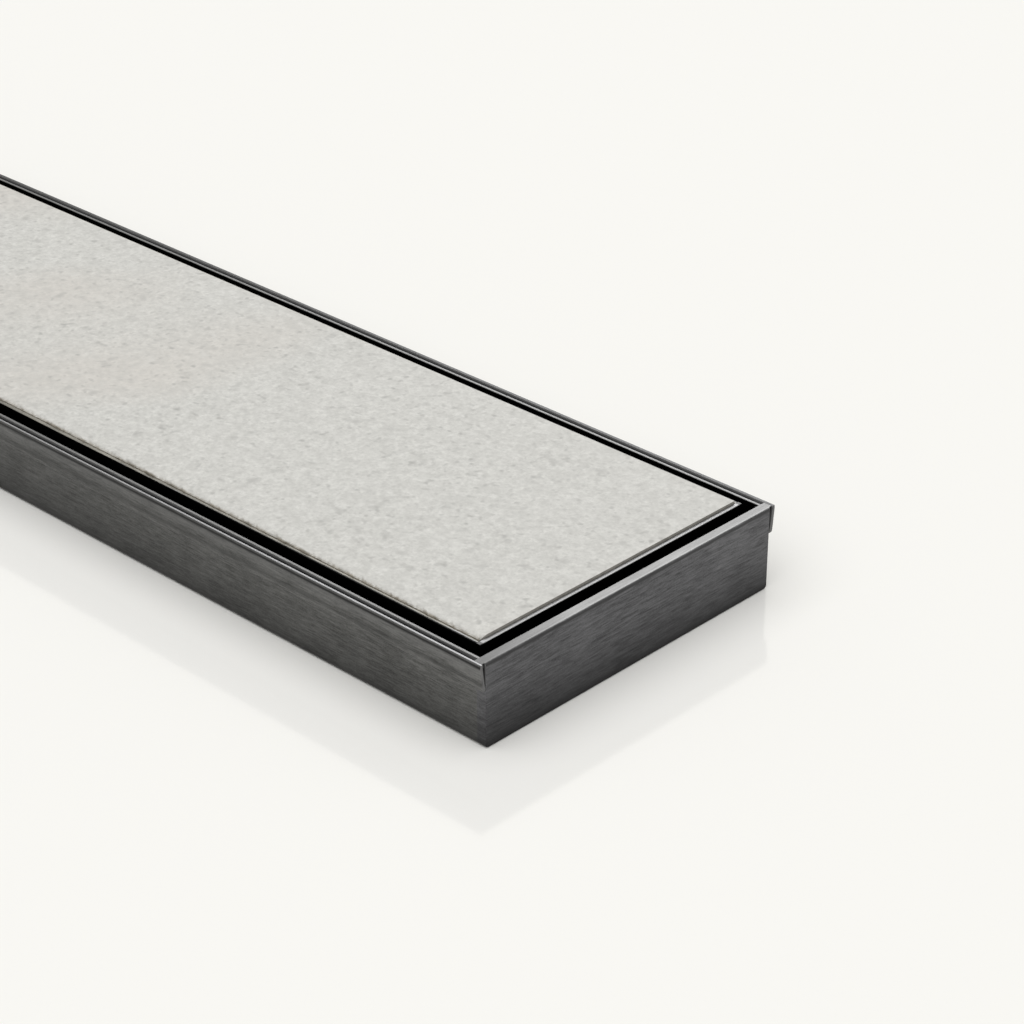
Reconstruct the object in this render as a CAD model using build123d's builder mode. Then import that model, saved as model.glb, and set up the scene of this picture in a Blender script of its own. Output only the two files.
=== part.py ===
"""Linear shower drain with a tile insert: channel, end plates, tile tray, tile, risers and strainer.

Frame: +X along the drain, +Y across it, +Z up, origin under the middle of the base. Millimetres.
"""

import os

from build123d import *

os.makedirs("parts", exist_ok=True)

# Channel: an extruded trough
length = 600.0
overall_width = 100.0
wall_span = 96.6
channel_height = 22.0
floor_thickness = 1.5
wall_thickness = 1.1
outer_corner_radius = 1.0
inner_corner_radius = 0.8

# Bonding lip along each wall, and the groove between it and the wall's thinned top
lip_drop = 7.0
lip_top_thickness = 0.9
lip_root_reach = 1.1
lip_shoulder = 1.2
lip_top_radius = 0.4
lip_toe_radius = 0.7
lip_end_radius = 0.25
groove_depth = 6.2
groove_root_gap = 0.1
groove_wall_thickness = 0.8
edge_break = 0.15

# End plates
end_plate_thickness = 2.7
end_plate_edge_radius = 0.4
end_plate_ear_height = 0.9
end_plate_ear_setback = 0.5

# Outlet hole for a waste pipe of 82.5 mm outside diameter
outlet_radius = 41.5

# Tile tray
slot_width = 2.9
tray_rim_thickness = 1.0
tray_end_thickness = 1.2
tray_floor_thickness = 1.2
tray_corner_radius = 1.2
tray_rim_above_channel = 0.6

# Tile and its adhesive bed
tile_clearance = 0.1
tile_above_channel = 1.25
tile_thickness = 9.0
tile_edge_chamfer = 0.2
adhesive_thickness = 1.15
adhesive_inset = 1.0

# Tracks under the tray, which hold the heads of the risers
track_y = 28.0
track_inner_width = 10.0
track_leg_thickness = 1.2
track_mouth_width = 7.0
track_depth = 3.6
track_flange_thickness = 1.2

# Risers, with the pad's sizes at the channel's floor
riser_stations = (-232.0, -92.0, 92.0, 232.0)
riser_pad_length = 25.4
riser_pad_width = 17.4
riser_pad_draft = 6.0
riser_corner_chamfer = 3.3
riser_head_length = 14.0
riser_clearance = 0.15

# Hair strainer: a pressed cap with rings of round holes
strainer_radius = 46.0
strainer_foot_radius = 43.2
strainer_crown_radius = 41.6
strainer_height = 4.5
strainer_sheet = 0.8
strainer_hole_radius = 2.5
strainer_ring_pitch = 10.5
strainer_rings = 3
holes_per_ring = 4

# Places worked out from the sizes above
wall_outer = wall_span / 2
wall_inner = wall_outer - wall_thickness
lip_outer = overall_width / 2
lip_inner = lip_outer - lip_top_thickness
groove_inner = wall_inner + groove_wall_thickness
groove_floor = channel_height - groove_depth
lip_toe = channel_height - lip_drop
body_half_length = length / 2 - end_plate_thickness
tray_half_width = wall_inner - slot_width
tray_half_length = body_half_length - slot_width
tray_body_half_length = tray_half_length - tray_end_thickness
rim_top = channel_height + tray_rim_above_channel
tile_top = channel_height + tile_above_channel
tile_bottom = tile_top - tile_thickness
tray_floor_top = tile_bottom - adhesive_thickness
tray_bottom = tray_floor_top - tray_floor_thickness
track_bottom = tray_bottom - track_depth
track_flange_top = track_bottom + track_flange_thickness
track_room = tray_bottom - track_flange_top
track_outer_width = track_inner_width + 2 * track_leg_thickness
tile_width = 2 * (tray_half_width - tray_rim_thickness - tile_clearance)
tile_length = 2 * (tray_body_half_length - tile_clearance)
on_base = (Align.CENTER, Align.MIN)


# Channel body: the trough stops at the end plates, and the lips run on past them
with BuildPart() as channel_body:
    with BuildSketch(Plane.YZ) as trough_section:
        Rectangle(wall_span, channel_height, align=on_base)
        fillet(trough_section.vertices().group_by(Axis.Y)[0], outer_corner_radius)
        with Locations((0, floor_thickness)):
            Rectangle(2 * wall_inner, channel_height, align=on_base, mode=Mode.SUBTRACT)
        floor_corners = trough_section.vertices().filter_by_position(Axis.Y, floor_thickness, floor_thickness)
        fillet(floor_corners, inner_corner_radius)
        with Locations((-wall_outer, groove_floor), (wall_outer, groove_floor)):
            Rectangle(2 * (wall_outer - groove_inner), groove_depth, align=on_base, mode=Mode.SUBTRACT)
        fillet(trough_section.vertices().group_by(Axis.Y)[-1], edge_break)
    extrude(amount=body_half_length, both=True)

    with BuildSketch(Plane.YZ) as lip_section:
        with BuildLine():
            Polyline(
                (wall_outer, lip_toe),
                (wall_outer + lip_root_reach, lip_toe),
                (lip_outer, channel_height - lip_shoulder),
                (lip_outer, channel_height),
                (lip_inner, channel_height),
                (lip_inner, channel_height - lip_shoulder),
                (wall_outer + groove_root_gap, groove_floor),
                (wall_outer, groove_floor),
                close=True,
            )
        make_face()
        top_corners = lip_section.vertices().group_by(Axis.Y)[-1].sort_by(Axis.X)
        fillet(top_corners[0], edge_break)
        fillet(top_corners[-1], lip_top_radius)
        fillet(lip_section.vertices().group_by(Axis.Y)[0].sort_by(Axis.X)[-1], lip_toe_radius)
        mirror(about=Plane.YZ)
    extrude(amount=length / 2, both=True)
    lip_ends = channel_body.faces().filter_by(Axis.X).filter_by_position(Axis.Z, lip_toe, channel_height)
    fillet(lip_ends.edges(), lip_end_radius)

    with Locations((0, 0, floor_thickness)):
        Hole(outlet_radius, depth=floor_thickness)
channel_body.part.label = "channel_body"
export_step(channel_body.part, "parts/channel_body.step")


# End plates: the trough's own outline with a softened front, and ears that close the grooves at the top
for side, name in ((-1, "end_plate_left"), (1, "end_plate_right")):
    with BuildPart() as end_plate:
        with BuildSketch(Plane.YZ.offset(side * body_half_length)) as end_section:
            Rectangle(wall_span, channel_height, align=on_base)
            fillet(end_section.vertices().group_by(Axis.Y)[0], outer_corner_radius)
        extrude(amount=side * end_plate_thickness)
        front = end_plate.faces().sort_by(Axis.X, reverse=side > 0)[0]
        fillet(front.edges(), end_plate_edge_radius)
        with BuildSketch(Plane.YZ.offset(side * body_half_length)):
            with Locations((0, channel_height - end_plate_ear_height)):
                Rectangle(2 * lip_inner, end_plate_ear_height, align=on_base)
        extrude(amount=side * (end_plate_thickness - end_plate_ear_setback))
    end_plate.part.label = name
    export_step(end_plate.part, f"parts/{name}.step")


# Tile tray: a shallow extruded pan with two tracks on its underside
with BuildPart() as tile_tray:
    with BuildSketch(Plane.YZ) as pan_section:
        with Locations((0, tray_bottom)):
            Rectangle(2 * tray_half_width, rim_top - tray_bottom, align=on_base)
        fillet(pan_section.vertices().group_by(Axis.Y)[0], tray_corner_radius)
        with Locations((0, tray_floor_top)):
            Rectangle(
                2 * (tray_half_width - tray_rim_thickness),
                rim_top - tray_floor_top,
                align=on_base,
                mode=Mode.SUBTRACT,
            )
        fillet(pan_section.vertices().group_by(Axis.Y)[-1], edge_break)
        with Locations((-track_y, track_bottom), (track_y, track_bottom)):
            Rectangle(track_outer_width, track_depth, align=on_base)
            Rectangle(track_mouth_width, track_flange_thickness, align=on_base, mode=Mode.SUBTRACT)
        with Locations((-track_y, track_flange_top), (track_y, track_flange_top)):
            Rectangle(track_inner_width, track_room, align=on_base, mode=Mode.SUBTRACT)
    extrude(amount=tray_body_half_length, both=True)
tile_tray.part.label = "tile_tray"
export_step(tile_tray.part, "parts/tile_tray.step")


# Strips that close the tray's ends, up to the height of its rims
for side, name in ((-1, "tray_end_left"), (1, "tray_end_right")):
    with BuildPart() as tray_end:
        with BuildSketch(Plane.YZ.offset(side * tray_body_half_length)) as strip_section:
            with Locations((0, tray_bottom)):
                Rectangle(2 * tray_half_width, rim_top - tray_bottom, align=on_base)
            fillet(strip_section.vertices().group_by(Axis.Y)[0], tray_corner_radius)
        extrude(amount=side * tray_end_thickness)
        top_edges = tray_end.edges().filter_by(Axis.Y).group_by(Axis.Z)[-1]
        fillet(top_edges, edge_break)
    tray_end.part.label = name
    export_step(tray_end.part, f"parts/{name}.step")


# Adhesive bed between the tray's floor and the tile
with BuildPart() as adhesive_bed:
    with BuildSketch(Plane.XY.offset(tray_floor_top)):
        Rectangle(tile_length - 2 * adhesive_inset, tile_width - 2 * adhesive_inset)
    extrude(amount=adhesive_thickness)
adhesive_bed.part.label = "adhesive_bed"
export_step(adhesive_bed.part, "parts/adhesive_bed.step")


# Tile: one cut piece with its top edges eased
with BuildPart() as tile:
    with BuildSketch(Plane.XY.offset(tile_bottom)):
        Rectangle(tile_length, tile_width)
    extrude(amount=tile_thickness)
    chamfer(tile.faces().sort_by(Axis.Z)[-1].edges(), tile_edge_chamfer)
tile.part.label = "tile"
export_step(tile.part, "parts/tile.step")


# Risers: moulded pads on the channel floor, each with a head held in a track
riser_places = [(x, side * track_y) for side in (-1, 1) for x in riser_stations]
head_width = track_inner_width - 2 * riser_clearance
neck_width = track_mouth_width - 2 * riser_clearance
head_bottom = track_flange_top + riser_clearance
for number, (x, y) in enumerate(riser_places, start=1):
    with BuildPart() as riser:
        with BuildSketch(Plane((x, y, floor_thickness))) as pad_outline:
            Rectangle(riser_pad_length, riser_pad_width)
            chamfer(pad_outline.vertices(), riser_corner_chamfer)
        extrude(amount=track_bottom - floor_thickness)
        pad_sides = riser.faces().filter_by(Axis.Z, reverse=True)
        draft(pad_sides, Plane((x, y, floor_thickness)), riser_pad_draft)
        with BuildSketch(Plane((x, y, track_bottom))):
            Rectangle(riser_head_length, neck_width)
        extrude(amount=head_bottom - track_bottom)
        with BuildSketch(Plane((x, y, head_bottom))):
            Rectangle(riser_head_length, head_width)
        extrude(amount=tray_bottom - riser_clearance - head_bottom)
    riser.part.label = f"riser_{number}"
    export_step(riser.part, f"parts/riser_{number}.step")


# Hair strainer: a pressed cap standing on its flange around the outlet
crown_top = floor_thickness + strainer_height
flange_top = floor_thickness + strainer_sheet
with BuildPart() as hair_strainer:
    with BuildSketch(Plane.XZ):
        with BuildLine():
            cap_surface = Polyline(
                (0, crown_top),
                (strainer_crown_radius, crown_top),
                (strainer_foot_radius, flange_top),
                (strainer_radius, flange_top),
            )
            offset(cap_surface, amount=strainer_sheet, side=Side.RIGHT, kind=Kind.INTERSECTION)
        make_face()
    revolve(axis=Axis.Z)
    with Locations((0, 0, crown_top)):
        Hole(strainer_hole_radius, depth=strainer_sheet)
        for ring in range(1, strainer_rings + 1):
            with PolarLocations(ring * strainer_ring_pitch, ring * holes_per_ring):
                Hole(strainer_hole_radius, depth=strainer_sheet)
hair_strainer.part.label = "hair_strainer"
export_step(hair_strainer.part, "parts/hair_strainer.step")
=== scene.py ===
# %% [markdown]
# # A linear shower drain with a tile insert
# The drain is a shallow channel of brushed gunmetal aluminium that is set into a shower floor. Inside it
# lies a thin-rimmed tray with one piece of pale stoneware, and water runs off through the narrow black
# slot all round. The solid parts come from the CAD model as a fixed frame, so this lesson is about what
# the eye sees on them: the grain of brushed metal, the speckle and the raw edges of the tile, and the
# light of a plain studio table.

# %% Load the drain
import math

import bmesh
import bpy
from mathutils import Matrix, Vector, noise


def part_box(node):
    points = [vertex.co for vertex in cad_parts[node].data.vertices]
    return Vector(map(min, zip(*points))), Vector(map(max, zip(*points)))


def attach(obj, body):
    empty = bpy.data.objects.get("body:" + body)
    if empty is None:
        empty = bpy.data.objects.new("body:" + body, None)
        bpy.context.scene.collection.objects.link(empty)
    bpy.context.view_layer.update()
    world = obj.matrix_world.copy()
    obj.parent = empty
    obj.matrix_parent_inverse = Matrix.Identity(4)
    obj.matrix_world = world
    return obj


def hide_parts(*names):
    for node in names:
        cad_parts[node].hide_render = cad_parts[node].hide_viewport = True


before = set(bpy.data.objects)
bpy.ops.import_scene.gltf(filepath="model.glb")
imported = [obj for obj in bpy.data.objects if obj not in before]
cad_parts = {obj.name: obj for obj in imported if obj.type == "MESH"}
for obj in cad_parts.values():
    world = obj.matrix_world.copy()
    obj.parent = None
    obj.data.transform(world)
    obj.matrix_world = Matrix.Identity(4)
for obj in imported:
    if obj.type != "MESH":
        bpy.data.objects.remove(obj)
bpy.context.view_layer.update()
MM = 0.001

# %% [markdown]
# ## The camera
# The picture looks down on the right-hand end of the drain, over its near corner, so that the long side
# runs out of the picture on the left. The view is that of a short telephoto lens, which keeps the long
# edges nearly parallel. It is easiest to aim such a camera by a point on the tile and two angles. Blender
# takes the lens and the sensor in millimetres, and every other length in metres.

# %% Aim the camera at the tile
VIEW_AIM = Vector((259.3, 2.4, 23.6)) * MM
VIEW_AZIMUTH = math.radians(43.74)
VIEW_ELEVATION = math.radians(28.86)
VIEW_DISTANCE = 679.7 * MM
LENS = 101.86
SENSOR_WIDTH = 36
NEAREST_SEEN = 10 * MM

towards_camera = Vector((
    math.sin(VIEW_AZIMUTH) * math.cos(VIEW_ELEVATION),
    -math.cos(VIEW_AZIMUTH) * math.cos(VIEW_ELEVATION),
    math.sin(VIEW_ELEVATION),
))
camera_data = bpy.data.cameras.new("table_camera")
camera_data.lens = LENS
camera_data.sensor_width = SENSOR_WIDTH
camera_data.clip_start = NEAREST_SEEN
camera = bpy.data.objects.new("table_camera", camera_data)
camera.location = VIEW_AIM + towards_camera * VIEW_DISTANCE
camera.rotation_euler = (math.pi / 2 - VIEW_ELEVATION, 0, VIEW_AZIMUTH)
bpy.context.scene.collection.objects.link(camera)
bpy.context.scene.camera = camera
print("camera at", [round(value, 3) for value in camera.location])

# %% [markdown]
# ## Colours and nodes
# Colours are picked as they look on a screen, in sRGB, but shaders calculate in linear light, so one
# function converts them. A second one adds a node to a material, sets its properties and fills its
# sockets with values or with links from other nodes. A third starts a material with no nodes in it. Nodes
# could be wired by hand in the shader editor too, but written down they can be read from top to bottom. A
# socket goes by its name, or by its number where names repeat: on a Mix node, 0 is the share, 2 and 3 are
# the values to mix, 4 and 5 the vectors, and 6 and 7 the colours.


# %% Colours, nodes and empty finishes
def colour(hex_code):
    """Turn an sRGB hex code into a linear RGBA colour."""
    channels = [int(hex_code[i : i + 2], 16) / 255 for i in (1, 3, 5)]
    linear = [c / 12.92 if c <= 0.04045 else ((c + 0.055) / 1.055) ** 2.4 for c in channels]
    return (*linear, 1.0)


def add_node(tree, kind, inputs=None, **properties):
    """Add a node, set its properties, and give each named input a value or a link."""
    node = tree.nodes.new("ShaderNode" + kind)
    for name, value in properties.items():
        setattr(node, name, value)
    for name, value in (inputs or {}).items():
        if isinstance(value, bpy.types.NodeSocket):
            tree.links.new(value, node.inputs[name])
        else:
            node.inputs[name].default_value = value
    return node


def new_finish(name):
    """Start an empty material and return it with its node tree."""
    finish = bpy.data.materials.new(name)
    finish.use_nodes = True
    finish.node_tree.nodes.clear()
    return finish, finish.node_tree


print("white is", colour("#ffffff"), "and mid grey is", [round(c, 3) for c in colour("#808080")])

# %% [markdown]
# ## The studio light
# The drain lies on a glossy off-white table in a pale room. A broad lamp hangs above it, turned a little
# towards the near corner, and gives the soft shadow. A second one stands low behind the drain, where the
# flat tops of the brushed rims mirror it towards the camera. Area lamps would fall off along the drain, so
# both are sun lamps with a wide angle, whose light is as strong everywhere. The air shows a pale tone to
# the camera and in reflections. To everything else it is only a dim fill, so that the shadow keeps its
# depth. The fill is a level of light and not a paint, so it is written in linear light.

# %% Light the studio
PALE = colour("#f9f8f4")
FILL = (0.3, 0.3, 0.3, 1.0)
SOFT_LAMPS = {
    "lamp_above": {"towards": (0.16, -0.30, 1.0), "strength": 2.23, "width": 90},
    "lamp_behind": {"towards": (-0.50, 0.73, 0.47), "strength": 0.6, "width": 26},
}

world = bpy.data.worlds.new("studio_air")
world.use_nodes = True
air = world.node_tree
air.nodes.clear()
ray = add_node(air, "LightPath").outputs
seen = ray["Is Camera Ray"]
for kind in ("Is Glossy Ray", "Is Transmission Ray"):
    seen = add_node(air, "Math", {0: seen, 1: ray[kind]}, operation="MAXIMUM").outputs[0]
tone = add_node(air, "Mix", {0: seen, 6: FILL, 7: PALE}, data_type="RGBA").outputs[2]
backdrop = add_node(air, "Background", {"Color": tone}).outputs[0]
add_node(air, "OutputWorld", {"Surface": backdrop})
bpy.context.scene.world = world
bpy.context.scene.view_settings.view_transform = "Standard"

for name, lamp in SOFT_LAMPS.items():
    lamp_data = bpy.data.lights.new(name, "SUN")
    lamp_data.energy = lamp["strength"]
    lamp_data.angle = math.radians(lamp["width"])
    lamp_object = bpy.data.objects.new(name, lamp_data)
    lamp_object.rotation_euler = Vector(lamp["towards"]).to_track_quat("Z", "Y").to_euler()
    bpy.context.scene.collection.objects.link(lamp_object)
print("lamps", sorted(SOFT_LAMPS))

# %% [markdown]
# ## The table
# The table is a painted board under clear lacquer, which mirrors the drain softly. A plain mix of matt paint
# and glossy lacquer keeps the strength of that image in one number, where a coated shader would change it
# with the angle. A flag keeps the rear lamp off the table, as a photographer would, because the lamp's own
# mirror image would lie on the lacquer.

# %% Set up the table
LACQUER_SHARE = 0.12
LACQUER_ROUGHNESS = 0.10
TABLE_REACH = 6.0
TABLE_CORNERS = ((-1, -1), (1, -1), (1, 1), (-1, 1))
CLEARANCE = 0.05 * MM

# Lacquered board: smooth and off-white, with a soft mirror image of what stands on it
table_finish, tree = new_finish("lacquered_board")
paint = add_node(tree, "BsdfDiffuse", {"Color": colour("#fdfcf8")}).outputs[0]
lacquer = add_node(tree, "BsdfGlossy", {"Color": PALE, "Roughness": LACQUER_ROUGHNESS}).outputs[0]
board = add_node(tree, "MixShader", {0: LACQUER_SHARE, 1: paint, 2: lacquer}).outputs[0]
add_node(tree, "OutputMaterial", {"Surface": board})

table_mesh = bpy.data.meshes.new("table")
corners = [(x * TABLE_REACH, y * TABLE_REACH, -CLEARANCE) for x, y in TABLE_CORNERS]
table_mesh.from_pydata(corners, [], [(0, 1, 2, 3)])
table = bpy.data.objects.new("table", table_mesh)
table_mesh.materials.append(table_finish)
bpy.context.scene.collection.objects.link(table)
flag = bpy.data.collections.new("flagged_off")
flag.objects.link(table)
flag.collection_objects[0].light_linking.link_state = "EXCLUDE"
bpy.data.objects["lamp_behind"].light_linking.receiver_collection = flag
print("table", 2 * TABLE_REACH, "m wide")

# %% [markdown]
# ## Brushed gunmetal
# The channel is an aluminium extrusion, brushed with an abrasive belt and anodised dark. A picture of such
# metal would repeat along the bar, so the tone is broken into streaks by noise that is stretched along the
# grain, and longer scuffs, fine grit and soft clouds lie over them. Real grooves are about 0.05 mm wide,
# too fine for the picture, so the streaks are drawn 0.3 mm wide. Painted light and painted shade then go on
# as further shades, each within a mask of its own. A few small functions make the noises and the masks, and
# lay a shade over what is there.

# %% Streaks, masks and shades
STREAK = (3.2 * MM, 0.32 * MM)
OCTAVES = 2.0
RAGGED = 0.6


def stretched(tree, place, size, **inputs):
    """Noise whose grains are as long and wide as the given size, with the length along the first axis."""
    length, width = size
    spread = add_node(tree, "Mapping", {"Vector": place, "Scale": (1 / length, 1 / width, 1 / width)})
    settings = {"Vector": spread.outputs[0], "Scale": 1.0, "Detail": OCTAVES, **inputs}
    return add_node(tree, "TexNoise", settings).outputs[0]


def stripe(tree, value, middle, reach, top=1.0):
    """A soft stripe: full where the value is at its middle, nothing from its reach on."""
    offset = add_node(tree, "Math", {0: value, 1: middle}, operation="SUBTRACT").outputs[0]
    distance = add_node(tree, "Math", {0: offset}, operation="ABSOLUTE").outputs[0]
    fade = {"Value": distance, "From Max": reach, "To Min": top, "To Max": 0.0}
    return add_node(tree, "MapRange", fade, interpolation_type="SMOOTHSTEP").outputs[0]


def overlap(tree, *masks):
    """Where all the masks are: their product."""
    whole = masks[0]
    for mask in masks[1:]:
        whole = add_node(tree, "Math", {0: whole, 1: mask}, operation="MULTIPLY").outputs[0]
    return whole


def blend(tree, share, first, second):
    """Go from the first shade to the second; each is a hex code or a colour from other nodes."""
    first, second = (colour(shade) if isinstance(shade, str) else shade for shade in (first, second))
    return add_node(tree, "Mix", {0: share, 6: first, 7: second}, data_type="RGBA").outputs[2]


def lay_on(finish, mask, shade):
    """Cover a finish with another shade as far as the mask says."""
    tree = finish.node_tree
    socket = tree.nodes["Principled BSDF"].inputs["Base Color"]
    tree.links.new(blend(tree, mask, socket.links[0].from_socket, shade), socket)


print("streaks", STREAK[0] / MM, "mm long and", STREAK[1] / MM, "mm wide")

# %% [markdown]
# The belt leaves fine grooves in one direction, so each point scatters light across the grain and far less
# along it. The shader has that as anisotropy, with a tangent along the grain. The trough was brushed along
# its length and the end plates across it. A face that the grain would meet end-on was brushed the other
# way: the ends of the lips, and the narrow edges of the end plates, which were dressed together with the
# long sides.

# %% The brushed tone
SCUFF = (8.0 * MM, 0.75 * MM)
SCUFF_OCTAVES = 3
GRIT = (0.5 * MM, 0.4 * MM)
CLOUD = (12 * MM, 12 * MM)
SCUFF_SHARE, GRIT_SHARE, CLOUD_SHARE = 0.42, 0.20, 0.16
TONE_RANGE = {"From Min": 0.36, "From Max": 0.64}
SATIN, SATIN_SWING = 0.38, 0.07
SCRATCHES = {"Strength": 0.25, "Distance": 0.02 * MM}
DRAWN_OUT = {"Anisotropic": 0.6, "Anisotropic Rotation": 0.25}
FACES_AXIS = 0.7


def brushed_metal(name, axis, tones):
    """Dark anodised aluminium, belt-brushed along one axis; return it with its places, slopes and tone."""
    cross = "Y" if axis == "X" else "X"
    finish, tree = new_finish(name)
    place = add_node(tree, "TexCoord").outputs["Object"]
    at = add_node(tree, "SeparateXYZ", {0: place}).outputs
    facing = add_node(tree, "SeparateXYZ", {0: add_node(tree, "NewGeometry").outputs["Normal"]}).outputs
    end_on = add_node(tree, "Math", {0: facing[axis]}, operation="ABSOLUTE").outputs[0]
    turned = add_node(tree, "Math", {0: end_on, 1: FACES_AXIS}, operation="GREATER_THAN").outputs[0]
    along = add_node(tree, "Mix", {0: turned, 2: at[axis], 3: at[cross]}).outputs[0]
    across = add_node(tree, "Mix", {0: turned, 2: at[cross], 3: at[axis]}).outputs[0]
    grain = add_node(tree, "CombineXYZ", {"X": along, "Y": across, "Z": at["Z"]}).outputs[0]

    streaks = stretched(tree, grain, STREAK, Roughness=RAGGED)
    scuffs = stretched(tree, grain, SCUFF, Detail=SCUFF_OCTAVES, Roughness=RAGGED)
    grit = stretched(tree, grain, GRIT)
    clouds = stretched(tree, place, CLOUD)
    tone = streaks
    for share, layer in ((SCUFF_SHARE, scuffs), (GRIT_SHARE, grit), (CLOUD_SHARE, clouds)):
        tone = add_node(tree, "Mix", {0: share, 2: tone, 3: layer}).outputs[0]
    tone = add_node(tree, "MapRange", {"Value": tone, **TONE_RANGE}).outputs[0]
    tint = blend(tree, tone, *tones)
    gloss = {"Value": streaks, "To Min": SATIN - SATIN_SWING, "To Max": SATIN + SATIN_SWING}
    polish = add_node(tree, "MapRange", gloss).outputs[0]
    grooves = add_node(tree, "Bump", {"Height": streaks, **SCRATCHES}).outputs[0]
    grain_axis = add_node(tree, "CombineXYZ", {axis: 1.0}).outputs[0]
    cross_axis = add_node(tree, "CombineXYZ", {cross: 1.0}).outputs[0]
    tangent = add_node(tree, "Mix", {0: turned, 4: grain_axis, 5: cross_axis}, data_type="VECTOR").outputs[1]
    surface = {"Base Color": tint, "Roughness": polish, "Normal": grooves, "Tangent": tangent}
    metal = add_node(tree, "BsdfPrincipled", {**surface, "Metallic": 1.0, **DRAWN_OUT}).outputs[0]
    add_node(tree, "OutputMaterial", {"Surface": metal})
    return finish, at, facing, tone


print("scuffs", SCUFF[0] / MM, "mm long, clouds", CLOUD[0] / MM, "mm wide")

# %% [markdown]
# The metal is built in layers. First comes the brushed tone, then painted light and shade: the foot is
# painted darker, the flat tops are painted lighter, and the arris below them is painted dark. Inside, where
# no belt reaches, the metal is painted black as painted shade. The layers could be painted on by hand, but
# masks that follow height and slope are even along the whole bar.

# %% Foot, arris, tops and inside
PAINTED_SHADE_DARK = "#1c1c1d"
PAINTED_SHADE_BLACK = "#0e0e0e"
FOOT_HEIGHT = 15.0 * MM
HEEL_REACH, HEEL_SHARE = 2.6 * MM, 0.8
CHANNEL_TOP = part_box("channel_body")[1].z
ARRIS_DROP, ARRIS_REACH = 0.55 * MM, 0.65 * MM
FLAT_RANGE = {"From Min": 0.78, "From Max": 0.92}
FLOOR_LEVEL = 1.4 * MM
END_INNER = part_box("end_plate_right")[0].x
WALL_INNER = 47.2 * MM
MARGIN = 0.1 * MM


def gunmetal(name, axis, tones, foot_share, arris_shade, top_light_tones):
    """Brushed metal with painted light and shade laid on; return it with its places, slopes and flat tops."""
    finish, at, facing, tone = brushed_metal(name, axis, tones)
    tree = finish.node_tree
    # Painted shade: darker towards the foot, and darker still in a stripe at the very bottom.
    rise = {"Value": at["Z"], "From Max": FOOT_HEIGHT, "To Min": foot_share, "To Max": 0.0}
    lay_on(finish, add_node(tree, "MapRange", rise).outputs[0], PAINTED_SHADE_DARK)
    lay_on(finish, stripe(tree, at["Z"], 0.0, HEEL_REACH, foot_share * HEEL_SHARE), PAINTED_SHADE_BLACK)
    # Painted shade: a dark band on the arris just below the top.
    lay_on(finish, stripe(tree, at["Z"], CHANNEL_TOP - ARRIS_DROP, ARRIS_REACH), arris_shade)
    # Painted light: faces that look up get lighter tones.
    flat = add_node(tree, "MapRange", {"Value": facing["Z"], **FLAT_RANGE}).outputs[0]
    lay_on(finish, flat, blend(tree, tone, *top_light_tones))
    # Painted shade: inside the channel, above its floor, the metal is painted black.
    inside = [add_node(tree, "Math", {0: at["Z"], 1: FLOOR_LEVEL}, operation="GREATER_THAN").outputs[0]]
    limits = {"X": END_INNER + MARGIN, "Y": WALL_INNER + MARGIN, "Z": CHANNEL_TOP - 2 * MARGIN}
    for direction, limit in limits.items():
        reach = add_node(tree, "Math", {0: at[direction]}, operation="ABSOLUTE").outputs[0]
        inside.append(add_node(tree, "Math", {0: reach, 1: limit}, operation="LESS_THAN").outputs[0])
    lay_on(finish, overlap(tree, *inside), PAINTED_SHADE_BLACK)
    return finish, at, facing, flat


print("channel top at", round(CHANNEL_TOP / MM, 2), "mm, end plates from", round(END_INNER / MM, 2), "mm")

# %% [markdown]
# The end plates keep this finish, with more painted light and shade. A painted highlight runs along the front
# edge of their top. Their top is painted darker towards both of its ends, most of all the near one, and their
# end face darker towards the near corner, as painted shade. The narrow edge that faces the lip was never
# brushed: it is blasted and rough, and painted pale as painted light, and shows only in the slit at the
# corner. One material serves both plates, because it measures outwards from the middle of the drain.

# %% Finish the end plates
PAINTED_SLIT_LIGHT, BLASTED_ROUGHNESS = "#747475", 0.95
HIGHLIGHT_FROM_FRONT, HIGHLIGHT_REACH, HIGHLIGHT_SHARE = 0.5 * MM, 0.4 * MM, 0.5
TOP_SHADE_NEAR = {"From Min": -49 * MM, "From Max": -20 * MM, "To Min": 0.6, "To Max": 0.0}
TOP_SHADE_FAR = {"From Min": 5 * MM, "From Max": 45 * MM, "To Max": 0.16}
FACE_SHADE_NEAR = {"From Min": -48 * MM, "From Max": 30 * MM, "To Min": 0.2, "To Max": 0.0}
LIP_TOE = 15.0 * MM


def roughen(finish, mask, roughness):
    """Make a finish duller where the mask says so."""
    tree = finish.node_tree
    socket = tree.nodes["Principled BSDF"].inputs["Roughness"]
    below = socket.links[0].from_socket
    tree.links.new(add_node(tree, "Mix", {0: mask, 2: below, 3: roughness}).outputs[0], socket)


def dress(node_name, finish):
    """Give a CAD piece its finish."""
    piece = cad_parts[node_name]
    piece.data.materials.clear()
    piece.data.materials.append(finish)


# Brushed across: a satin with fine streaks from side to side, and a painted highlight along the front of its
# top
end_finish, at, facing, flat = gunmetal(
    "gunmetal_brushed_across",
    axis="Y",
    tones=("#39393b", "#737376"),
    foot_share=0.74,
    arris_shade="#3c3c3d",
    top_light_tones=("#626262", "#7f7f7f"),
)
tree = end_finish.node_tree
end_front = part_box("end_plate_right")[1].x
outwards = add_node(tree, "Math", {0: at["X"]}, operation="ABSOLUTE").outputs[0]
# Painted highlight: a light line along the front edge of the top.
worn = stripe(tree, outwards, end_front - HIGHLIGHT_FROM_FRONT, HIGHLIGHT_REACH, HIGHLIGHT_SHARE)
lay_on(end_finish, overlap(tree, worn, flat), "#8c8c8d")
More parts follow.
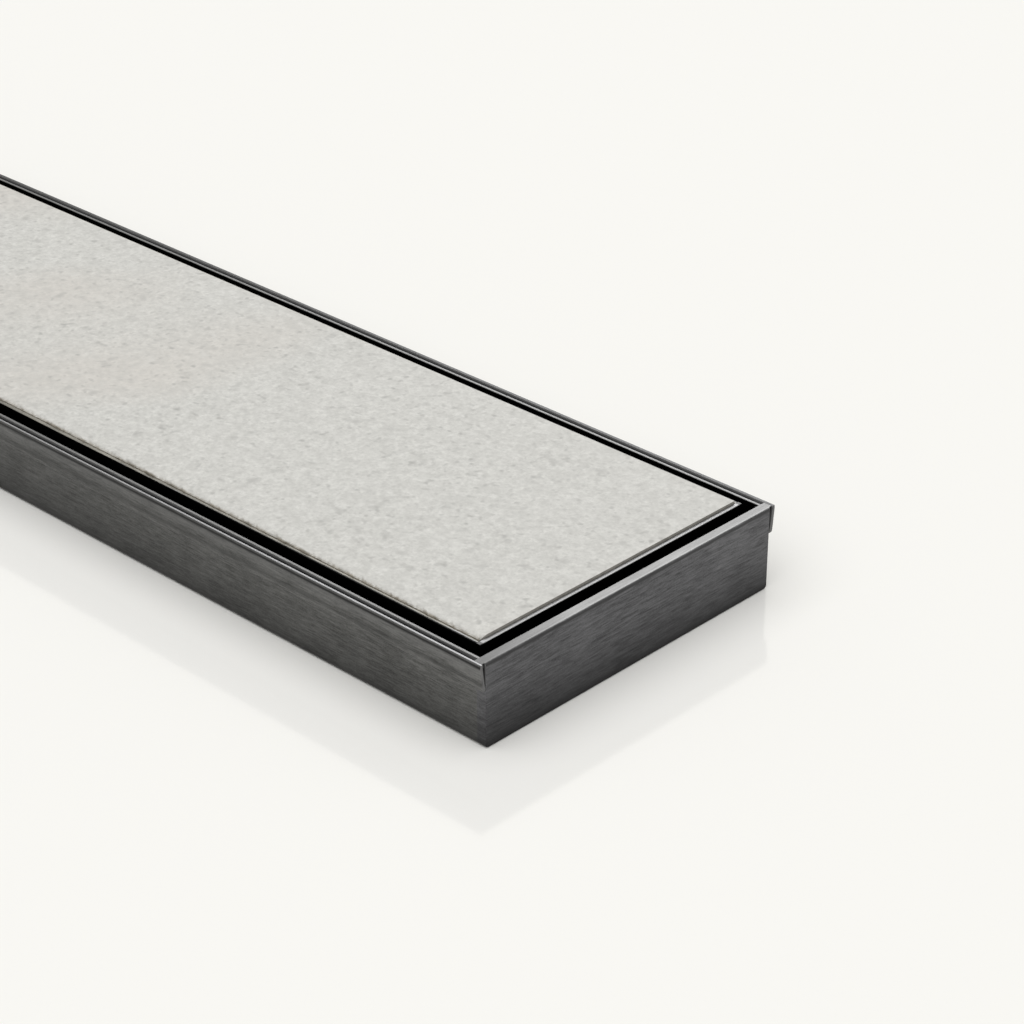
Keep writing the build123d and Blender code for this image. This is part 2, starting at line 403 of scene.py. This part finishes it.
# Painted shade: the end face is darker towards the near corner, and the top towards both of its ends.
endways = add_node(tree, "Math", {0: facing["X"]}, operation="ABSOLUTE").outputs[0]
near = add_node(tree, "MapRange", {"Value": at["Y"], **FACE_SHADE_NEAR}).outputs[0]
lay_on(end_finish, overlap(tree, near, endways), "#2c2c2d")
for top_shade_range in (TOP_SHADE_NEAR, TOP_SHADE_FAR):
    top_shade = add_node(tree, "MapRange", {"Value": at["Y"], **top_shade_range}).outputs[0]
    lay_on(end_finish, overlap(tree, top_shade, flat), "#3c3c3d")
# Painted light: the narrow edge that faces the lip is painted pale, so that the slit at the corner shows
# lighter.
sideways = add_node(tree, "Math", {0: facing["Y"]}, operation="ABSOLUTE").outputs[0]
cheek = add_node(tree, "Math", {0: sideways, 1: FACES_AXIS}, operation="GREATER_THAN").outputs[0]
above_toe = add_node(tree, "Math", {0: at["Z"], 1: LIP_TOE}, operation="GREATER_THAN").outputs[0]
cheek = overlap(tree, cheek, above_toe)
lay_on(end_finish, cheek, PAINTED_SLIT_LIGHT)
roughen(end_finish, cheek, BLASTED_ROUGHNESS)
for side in ("left", "right"):
    dress(f"end_plate_{side}", end_finish)
print("end plates", round((end_front - END_INNER) / MM, 2), "mm thick")

# %% [markdown]
# The long sides show more painted light and shade. Along each runs a lip. The top of the front one carries
# a painted highlight, with painted shade at its outer edge, and the top of the rear one is painted a darker
# grey. The lip's shoulder is painted lighter, and a painted shadow lies in the hollow under it. The sides are
# painted darker towards the middle of the bar than at its ends, as painted shade. The lips' sawn ends are
# painted a lighter grey, as painted light.

# %% Finish the channel's long sides
LIP_INNER = 49.1 * MM
UPRIGHT = 0.3
SHOULDER_LIGHT = (CHANNEL_TOP - 2.0 * MM, 1.9 * MM, 0.16)
TOE_SHADOW = (CHANNEL_TOP - 4.8 * MM, 1.3 * MM, 0.35)
MIDDLE_SHADE_RANGE = {"From Min": END_INNER, "From Max": 150 * MM, "To Max": 0.2}
LIP_HIGHLIGHT_RANGE = {"From Min": 49.78 * MM, "From Max": 49.56 * MM}

# Brushed along: fine streaks that run with the bar, and highlights drawn out across them
channel_finish, at, facing, flat = gunmetal(
    "gunmetal_brushed_along",
    axis="X",
    tones=("#3a3a39", "#737372"),
    foot_share=0.56,
    arris_shade=PAINTED_SHADE_DARK,
    top_light_tones=("#666667", "#797979"),
)
tree = channel_finish.node_tree
sideways = add_node(tree, "Math", {0: at["Y"]}, operation="ABSOLUTE").outputs[0]
lengthways = add_node(tree, "Math", {0: at["X"]}, operation="ABSOLUTE").outputs[0]
endways = add_node(tree, "Math", {0: facing["X"]}, operation="ABSOLUTE").outputs[0]
# Painted light: the lips' sawn ends get a lighter flat grey.
sawn = add_node(tree, "Math", {0: endways, 1: FACES_AXIS}, operation="GREATER_THAN").outputs[0]
lay_on(channel_finish, sawn, "#666667")
on_lip = add_node(tree, "Math", {0: sideways, 1: LIP_INNER + MARGIN}, operation="GREATER_THAN").outputs[0]
upright = add_node(tree, "Math", {0: facing["Z"], 1: UPRIGHT}, operation="LESS_THAN").outputs[0]
# Painted shade: the upright faces are darker towards the middle of the bar.
middle = add_node(tree, "MapRange", {"Value": lengthways, **MIDDLE_SHADE_RANGE}).outputs[0]
lay_on(channel_finish, overlap(tree, middle, upright), PAINTED_SHADE_DARK)
# Painted light: a lighter band on the lip's shoulder.
lay_on(channel_finish, overlap(tree, stripe(tree, at["Z"], *SHOULDER_LIGHT), on_lip, upright), "#8a8a8b")
# Painted shadow: a dark band in the hollow under the lip.
lay_on(channel_finish, overlap(tree, stripe(tree, at["Z"], *TOE_SHADOW), on_lip), PAINTED_SHADE_DARK)

front_lip = add_node(tree, "Math", {0: at["Y"], 1: -LIP_INNER}, operation="LESS_THAN").outputs[0]
rear_lip = add_node(tree, "Math", {0: at["Y"], 1: LIP_INNER}, operation="GREATER_THAN").outputs[0]
# Painted highlight and painted shade on the lips' tops: the front one dark with a bright band, the rear one a
# darker grey.
lip_highlight = add_node(tree, "MapRange", {"Value": sideways, **LIP_HIGHLIGHT_RANGE}).outputs[0]
lay_on(channel_finish, overlap(tree, front_lip, flat), "#2a2a2b")
lay_on(channel_finish, overlap(tree, front_lip, flat, lip_highlight), "#8e8e90")
lay_on(channel_finish, overlap(tree, rear_lip, flat), "#4b4b4c")
dress("channel_body", channel_finish)
print("gunmetal on", len(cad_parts["channel_body"].data.polygons), "faces of the channel")

# %% [markdown]
# Each lip stands a millimetre off the wall, so there is a narrow groove between them. No belt reaches into
# it: the metal there is blasted and dull, painted darker with depth as painted shade, and painted paler at
# the ends as painted light. Faces of the mesh could get a material of their own for this, but a mask of
# place, height and slope finds the grooves and leaves the CAD mesh as it is.

# %% Finish the grooves
WALL_TOP_OUTER = 48.0 * MM
GROOVE_MIDDLE = (WALL_TOP_OUTER + LIP_INNER) / 2
GROOVE_HALF = (LIP_INNER - WALL_TOP_OUTER) / 2 + MARGIN
GROOVE_FLOOR = 15.75 * MM
GROOVE_DEPTH = {"From Min": CHANNEL_TOP - 0.8 * MM, "From Max": CHANNEL_TOP}
GROOVE_END = {"From Min": END_INNER - 6 * MM, "From Max": END_INNER}
LENGTHWISE = 0.5

span = {0: sideways, 1: GROOVE_MIDDLE, 2: GROOVE_HALF}
in_groove = add_node(tree, "Math", span, operation="COMPARE").outputs[0]
above = add_node(tree, "Math", {0: at["Z"], 1: GROOVE_FLOOR}, operation="GREATER_THAN").outputs[0]
not_end = add_node(tree, "Math", {0: endways, 1: LENGTHWISE}, operation="LESS_THAN").outputs[0]
groove = overlap(tree, in_groove, above, upright, not_end)
# Painted shade: the groove is darker with depth; painted light: it is paler towards its open ends.
shaded = add_node(tree, "MapRange", {"Value": at["Z"], **GROOVE_DEPTH}).outputs[0]
lay_on(channel_finish, groove, blend(tree, shaded, "#3a3a3b", "#8a8a8b"))
open_end = add_node(tree, "MapRange", {"Value": lengthways, **GROOVE_END}).outputs[0]
lay_on(channel_finish, overlap(tree, groove, open_end), PAINTED_SLIT_LIGHT)
roughen(channel_finish, groove, BLASTED_ROUGHNESS)
print("grooves", round((LIP_INNER - WALL_TOP_OUTER) / MM, 2), "mm wide")

# %% [markdown]
# ## The tray
# Only the tray's rims show: thin upstanding edges that hold the tile. They were skimmed to bright metal, and
# below them everything is painted black as painted shade, so that the slot reads as a clean dark line. One
# material does both, because the rim's top is the only part that faces up at that height.

# %% Black tray with skimmed rims
tray_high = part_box("tile_tray")[1]
RIM_LEVEL = tray_high.z - 0.4 * MM
LEVEL = 0.4
PORE = (0.4 * MM, 0.4 * MM)
SKIMMED_ROUGHNESS = {"To Min": 0.32, "To Max": 0.46}
SLOT_SHADE_BLACK = "#141414"


def skimmed_black(name, axis, skimmed_tones):
    """Aluminium painted black as painted shade, with its topmost edges skimmed to bare metal along one axis.
    """
    cross = "Y" if axis == "X" else "X"
    finish, tree = new_finish(name)
    place = add_node(tree, "TexCoord").outputs["Object"]
    at = add_node(tree, "SeparateXYZ", {0: place}).outputs
    facing = add_node(tree, "SeparateXYZ", {0: add_node(tree, "NewGeometry").outputs["Normal"]}).outputs
    high = add_node(tree, "Math", {0: at["Z"], 1: RIM_LEVEL}, operation="GREATER_THAN").outputs[0]
    level = add_node(tree, "Math", {0: facing["Z"], 1: LEVEL}, operation="GREATER_THAN").outputs[0]
    grain = add_node(tree, "CombineXYZ", {"X": at[axis], "Y": at[cross], "Z": at["Z"]}).outputs[0]
    streaks = stretched(tree, grain, STREAK, Roughness=RAGGED)
    # Painted shade: everything below the rims is painted black.
    black = blend(tree, stretched(tree, place, PORE), "#0a0a0a", SLOT_SHADE_BLACK)
    polish = add_node(tree, "MapRange", {"Value": streaks, **SKIMMED_ROUGHNESS}).outputs[0]
    shade_black_surface = {"Base Color": black, "Metallic": 1.0, "Roughness": polish}
    metal = add_node(tree, "BsdfPrincipled", shade_black_surface).outputs[0]
    add_node(tree, "OutputMaterial", {"Surface": metal})
    rim = overlap(tree, high, level)
    lay_on(finish, rim, blend(tree, streaks, *skimmed_tones))
    return finish, at, rim


print("tray rims skimmed above", round(RIM_LEVEL / MM, 2), "mm")

# %% [markdown]
# Along the inner half of the long rims lies a darker beige-grey band, which is wider towards the middle.
# Noise bends its border, so that it wanders. Near the ends the outermost edge of these rims is painted
# black too, a painted shade that widens the slot there.

# %% Finish the long rims
BAND_PATCH = (9 * MM, 9 * MM)
BAND_OCTAVES = 3.0
BAND_WAVE = 1.2 * MM
BAND_MIDDLE = tray_high.y - BAND_WAVE / 2
BAND_BORDER = {"From Min": BAND_MIDDLE - 0.35 * MM, "From Max": BAND_MIDDLE - 0.55 * MM}
BAND_SPREAD = {"From Min": 280 * MM, "From Max": 170 * MM, "To Max": 0.5 * MM}
SLOT_SHADE_REACH = {"From Min": 150 * MM, "From Max": 240 * MM, "To Max": 0.4 * MM}

# Skimmed along: a deep black, painted as shade, with a thin light line along its top
tray_finish, at, rim = skimmed_black("tray_in_painted_shade", "X", ("#747475", "#8c8c8d"))
tree = tray_finish.node_tree
place = add_node(tree, "TexCoord").outputs["Object"]
sideways = add_node(tree, "Math", {0: at["Y"]}, operation="ABSOLUTE").outputs[0]
lengthways = add_node(tree, "Math", {0: at["X"]}, operation="ABSOLUTE").outputs[0]
# The inner part of the long rims' tops gets a darker beige-grey band in patches, wider towards the middle.
patches = stretched(tree, place, BAND_PATCH, Detail=BAND_OCTAVES)
wider = add_node(tree, "MapRange", {"Value": lengthways, **BAND_SPREAD}).outputs[0]
wavy = add_node(tree, "Math", {0: patches, 1: -BAND_WAVE, 2: sideways}, operation="MULTIPLY_ADD").outputs[0]
wavy = add_node(tree, "Math", {0: wavy, 1: wider}, operation="SUBTRACT").outputs[0]
inner = add_node(tree, "MapRange", {"Value": wavy, **BAND_BORDER}).outputs[0]
lay_on(tray_finish, overlap(tree, rim, inner), blend(tree, patches, "#504e49", "#918e86"))
# Painted shade: near the ends the outermost edge of the rims is painted black, widening the slot's painted
# shade.
shade_reach = add_node(tree, "MapRange", {"Value": lengthways, **SLOT_SHADE_REACH}).outputs[0]
outwards = add_node(tree, "Math", {0: sideways, 1: shade_reach}, operation="ADD").outputs[0]
outer = add_node(tree, "Math", {0: outwards, 1: tray_high.y}, operation="GREATER_THAN").outputs[0]
lay_on(tray_finish, outer, SLOT_SHADE_BLACK)
dress("tile_tray", tray_finish)
print("darker inner band in patches of", BAND_PATCH[0] / MM, "mm, its border wanders by", BAND_WAVE / MM, "mm")

# %% [markdown]
# The strips that close the tray's ends were skimmed across it, and more brightly. Past the tile, at the
# corners, they are painted darker as painted shade. Their grain runs the other way, so they get a material
# of their own, which comes from the same function.

# %% Finish the tray's ends
RIM_WIDTH = 1.0 * MM

# Skimmed across: the same black, painted as shade, with a lighter line that is painted darker at the corners
strip_finish, at, rim = skimmed_black("tray_ends_in_painted_shade", "Y", ("#7e7e7f", "#919192"))
tree = strip_finish.node_tree
sideways = add_node(tree, "Math", {0: at["Y"]}, operation="ABSOLUTE").outputs[0]
past_tile = {0: sideways, 1: tray_high.y - RIM_WIDTH}
# Painted shade: past the tile, at the corners, the end strips' rims are painted darker.
corner = add_node(tree, "Math", past_tile, operation="GREATER_THAN").outputs[0]
lay_on(strip_finish, overlap(tree, rim, corner), "#515152")
for side in ("left", "right"):
    dress(f"tray_end_{side}", strip_finish)
print("tray ends skimmed over", round(2 * tray_high.y / MM, 1), "mm")

# %% [markdown]
# ## The tile
# The insert is one strip cut from a floor tile of matt stoneware. Its top is the fired face; its edges are
# raw: the long front edge was snapped and rubbed down, so it is rounded and chipped, and the others were
# sawn and only eased. A plain box with a bevel would look machined, so the mesh goes round the outline in
# steps of 0.7 mm, and noise decides how much each step has lost.

# %% Wear the tile's edges
tile_low, tile_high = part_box("tile")
STEP = 0.7 * MM
FRONT_EASE, OTHER_EASE = 0.6 * MM, 0.05 * MM
FRONT_CHIP, OTHER_CHIP = 1.2 * MM, 0.03 * MM
FRONT_FADE = 2.5 * MM
CHIP_SIZES = (4.0 * MM, 1.5 * MM)
EASE_SWING = 0.35
CHIP_SHARE, COARSE_SWING, FINE_SWING = 0.35, 0.7, 0.5


def tile_outline():
    """Walk once round the tile and return the corner and edge points."""
    low, high = tile_low, tile_high
    corners = [(low.x, low.y), (high.x, low.y), (high.x, high.y), (low.x, high.y)]
    points = []
    for (x0, y0), (x1, y1) in zip(corners, corners[1:] + corners[:1]):
        steps = round(math.dist((x0, y0), (x1, y1)) / STEP)
        points += [(x0 + (x1 - x0) * i / steps, y0 + (y1 - y0) * i / steps) for i in range(steps)]
    return points


def edge_loss(x, y):
    """Return the radius of the worn edge at a point of the outline, and how much has chipped off there."""
    front = 1 - min((y - tile_low.y) / FRONT_FADE, 1)
    front = front * front * (3 - 2 * front)
    ease = OTHER_EASE + (FRONT_EASE - OTHER_EASE) * front
    chip = OTHER_CHIP + (FRONT_CHIP - OTHER_CHIP) * front
    coarse, fine = (noise.noise(Vector((x, y, 0)) / size) for size in CHIP_SIZES)
    chipped = max(0, CHIP_SHARE + COARSE_SWING * coarse + FINE_SWING * fine)
    return ease * (1 + EASE_SWING * coarse), chip * chipped


outline = tile_outline()
losses = [edge_loss(x, y) for x, y in outline]
deepest = max(ease + chip for ease, chip in losses)
print("edge of", len(outline), "steps, worn back by up to", round(deepest / MM, 2), "mm")

# %% [markdown]
# The mesh is a stack of rings. The lowest two are the plain sides. Then a quarter turn rounds the edge over
# to the top, with chips that bite deeper the higher they are, and a last ring keeps the flat of the top
# even. A bevel could round the edge too, but it would be the same all along. A ring only ever moves inwards
# and down, so the piece stays inside the CAD tile.

# %% Build the tile
QUARTER_TURN = [math.radians(angle) for angle in (0, 25, 48, 70, 90)]
TOE_SHARE = 0.3
FLAT_MARGIN = 0.6 * MM
HIDDEN_DROP = 2.0 * MM
tile_middle = (tile_low + tile_high) / 2
tile_half = (tile_high - tile_low) / 2


def tile_ring(height, eased=0.0, chipped=0.0, margin=0.0, lowered=0.0):
    """One ring of points, drawn in and lowered by shares of what the edge has lost at each point."""
    points = []
    for (x, y), (ease, chip) in zip(outline, losses):
        inset = ease * eased + chip * chipped + margin
        points.append((
            tile_middle.x + (x - tile_middle.x) * (1 - inset / tile_half.x),
            tile_middle.y + (y - tile_middle.y) * (1 - inset / tile_half.y),
            height - ease * lowered,
        ))
    return points


rings = [tile_ring(tile_low.z), tile_ring(tile_high.z - HIDDEN_DROP)]
for turn in QUARTER_TURN:
    risen, drawn_in = math.sin(turn), 1 - math.cos(turn)
    bite = TOE_SHARE + (1 - TOE_SHARE) * risen
    rings.append(tile_ring(tile_high.z, eased=drawn_in, chipped=bite, lowered=1 - risen))
rings.append(tile_ring(tile_high.z, eased=1.0, chipped=1.0, margin=FLAT_MARGIN))

tile_shape = bmesh.new()
loops = [[tile_shape.verts.new(point) for point in points] for points in rings]
for below, above in zip(loops, loops[1:]):
    for i in range(len(below)):
        j = (i + 1) % len(below)
        tile_shape.faces.new((below[i], below[j], above[j], above[i]))
tile_shape.faces.new(loops[-1])
tile_shape.faces.new(reversed(loops[0]))
tile_mesh = bpy.data.meshes.new("cut_tile")
tile_shape.to_mesh(tile_mesh)
tile_shape.free()
cut_tile = bpy.data.objects.new("cut_tile", tile_mesh)
bpy.context.scene.collection.objects.link(cut_tile)
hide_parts("tile")
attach(cut_tile, "root")
print("tile with", len(tile_mesh.polygons), "faces in", len(rings), "rings")

# %% [markdown]
# ## Matt stoneware
# Stoneware is fired clay with grains of coloured mineral. From near, its fired face is a neutral light grey
# that is grainy all over. The grain also breaks up its dull gloss and gives it a very shallow relief. A
# picture of a tile would blur from near, so noise at real sizes makes it.

# %% The clay
GRAIN = (0.95 * MM, 0.95 * MM)
GRAIN_RANGE = {"From Min": 0.3, "From Max": 0.7}
GRAIN_RELIEF = {"Strength": 0.3, "Distance": 0.006 * MM}
CLAY_ROUGHNESS = {"To Min": 0.55, "To Max": 0.75}

# Matt stoneware: no clear reflection, only soft light with a fine grain in it
stoneware, tree = new_finish("stoneware_matt")
place = add_node(tree, "TexCoord").outputs["Object"]
grain = stretched(tree, place, GRAIN, Roughness=RAGGED)
dull = add_node(tree, "MapRange", {"Value": grain, **CLAY_ROUGHNESS}).outputs[0]
relief = add_node(tree, "Bump", {"Height": grain, **GRAIN_RELIEF}).outputs[0]
even = add_node(tree, "MapRange", {"Value": grain, **GRAIN_RANGE}).outputs[0]
fired = blend(tree, even, "#bcbbb6", "#d2d1cc")
clay = add_node(tree, "BsdfPrincipled", {"Base Color": fired, "Roughness": dull, "Normal": relief}).outputs[0]
add_node(tree, "OutputMaterial", {"Surface": clay})
tile_mesh.materials.append(stoneware)
print("stoneware with grain of", GRAIN[0] / MM, "mm")

# %% [markdown]
# On the grain lie a faint warm bloom here and there, soft mottling, small dark specks in loose groups, a
# few larger spots, and pale flecks. Each comes from noise at its own size, of which one range is laid over
# the clay as a shade. The spots are the highest parts of one noise and the flecks its lowest. The noise has
# no finer octaves, so that each mark stays round.

# %% Bloom, mottling and specks
ROUND = 0.0
GROUP = (12 * MM, 12 * MM)
GROUP_RANGE = {"From Min": 0.3, "From Max": 0.65, "To Min": 0.4}
MARKS = {
    "bloom": {"size": 44 * MM, "from": 0.54, "to": 0.80, "share": 0.45, "shade": "#c6c0b8"},
    "mottling": {"size": 2.2 * MM, "from": 0.30, "to": 0.80, "share": 0.36, "shade": "#adaca7"},
    "specks": {"size": 1.5 * MM, "from": 0.64, "to": 0.90, "share": 0.72, "shade": "#979692"},
    "spots": {"size": 3.8 * MM, "from": 0.66, "to": 0.90, "share": 0.48, "shade": "#9b9a96"},
    "flecks": {"size": 3.8 * MM, "from": 0.34, "to": 0.14, "share": 0.25, "shade": "#dad9d4"},
}

groups = stretched(tree, place, GROUP)
grouped = add_node(tree, "MapRange", {"Value": groups, **GROUP_RANGE}).outputs[0]
for name, mark in MARKS.items():
    field = stretched(tree, place, (mark["size"], mark["size"]), Detail=ROUND)
    levels = {"From Min": mark["from"], "From Max": mark["to"], "To Max": mark["share"]}
    mask = add_node(tree, "MapRange", {"Value": field, **levels}).outputs[0]
    if name == "specks":
        mask = overlap(tree, mask, grouped)
    lay_on(stoneware, mask, mark["shade"])
print("marks on the fired face:", ", ".join(MARKS))

# %% [markdown]
# Where the edge is worn through, the raw body shows. The snapped front edge is a pale beige with dark pits.
# The sawn edges are greyer and dull. The surface's own slope tells where the edge is, and the grain frays
# its border a little, so that the fired face does not end in a clean line.

# %% The raw edges
PIT = (3.0 * MM, 1.6 * MM)
PIT_RANGE = {"From Min": 0.5, "From Max": 0.62}
SAWN_RANGE = {"From Min": 0.1, "From Max": 0.5}
FRAY = 0.3
WORN_THROUGH = {"From Min": 0.6, "From Max": 1.0, "To Min": 1.0, "To Max": 0.0}

facing = add_node(tree, "SeparateXYZ", {0: add_node(tree, "NewGeometry").outputs["True Normal"]}).outputs
pits = add_node(tree, "MapRange", {"Value": stretched(tree, place, PIT), **PIT_RANGE}).outputs[0]
snapped = blend(tree, pits, blend(tree, even, "#857e71", "#aca598"), "#777165")
sawn = blend(tree, even, "#87847e", "#9d9a93")
end_on = add_node(tree, "Math", {0: facing["X"]}, operation="ABSOLUTE").outputs[0]
not_front = add_node(tree, "Math", {0: end_on, 1: facing["Y"]}, operation="MAXIMUM").outputs[0]
not_front = add_node(tree, "MapRange", {"Value": not_front, **SAWN_RANGE}).outputs[0]
slope = add_node(tree, "Math", {0: grain, 1: FRAY, 2: facing["Z"]}, operation="MULTIPLY_ADD").outputs[0]
raw = add_node(tree, "MapRange", {"Value": slope, **WORN_THROUGH}).outputs[0]
lay_on(stoneware, raw, blend(tree, not_front, snapped, sawn))
print("raw edges: snapped in front, sawn behind and at the ends")

# %% [markdown]
# ## The hidden pieces
# Three kinds of piece show only from below or through the slot: the cement bed under the tile, the moulded
# risers that carry the tray, and the pressed strainer over the outlet. They get finishes of the same care.
# Cement adhesive dries rough and blotchy. Black polypropylene has the fine spark-eroded grain of its mould.
# Stainless strainers are tumbled after pressing, which leaves a satin with no direction and tiny scratches.
# The three differ only in sizes, shades and gloss, so one function makes them.

# %% Cement, polypropylene and stainless steel
FINE_OCTAVES = 3.0
BLOTCH_SHARE = 0.5
BLOTCH_RANGE = {"From Min": 0.3, "From Max": 0.7}
GLOSS_SWING = 0.06
RELIEF_STRENGTH = 0.5


def grained_finish(name, grain, blotch, shades, roughness, metallic, relief):
    """A finish with fine grain and soft blotches: tone and gloss follow both noises, relief the fine one."""
    finish, tree = new_finish(name)
    place = add_node(tree, "TexCoord").outputs["Object"]
    fine = stretched(tree, place, (grain, grain), Detail=FINE_OCTAVES)
    soft = stretched(tree, place, (blotch, blotch))
    tone = add_node(tree, "Mix", {0: BLOTCH_SHARE, 2: fine, 3: soft}).outputs[0]
    tone = add_node(tree, "MapRange", {"Value": tone, **BLOTCH_RANGE}).outputs[0]
    gloss = {"Value": tone, "To Min": roughness + GLOSS_SWING, "To Max": roughness - GLOSS_SWING}
    polish = add_node(tree, "MapRange", gloss).outputs[0]
    texture = {"Height": fine, "Strength": RELIEF_STRENGTH, "Distance": relief}
    bumps = add_node(tree, "Bump", texture).outputs[0]
    surface = {"Base Color": blend(tree, tone, *shades), "Roughness": polish, "Normal": bumps}
    body = add_node(tree, "BsdfPrincipled", {**surface, "Metallic": metallic}).outputs[0]
    add_node(tree, "OutputMaterial", {"Surface": body})
    return finish


# Cement: dry and grey, with soft blotches and no shine
cement = grained_finish(
    "cement_adhesive",
    grain=0.8 * MM,
    blotch=9 * MM,
    shades=("#7d7a74", "#9b978f"),
    roughness=0.9,
    metallic=0.0,
    relief=0.15 * MM,
)
# Polypropylene: nearly black, with the soft sheen of a fine grain
polypropylene = grained_finish(
    "polypropylene_moulded",
    grain=0.25 * MM,
    blotch=6 * MM,
    shades=("#161617", "#212122"),
    roughness=0.5,
    metallic=0.0,
    relief=0.02 * MM,
)
# Stainless steel: an even satin that shines alike from every side
steel = grained_finish(
    "stainless_steel_tumbled",
    grain=0.15 * MM,
    blotch=4 * MM,
    shades=("#4c4b4a", "#646362"),
    roughness=0.42,
    metallic=1.0,
    relief=0.004 * MM,
)
dress("adhesive_bed", cement)
dress("hair_strainer", steel)
risers = [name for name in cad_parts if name.startswith("riser_")]
for riser in risers:
    dress(riser, polypropylene)
print("cement on the bed, steel on the strainer and polypropylene on", len(risers), "risers")
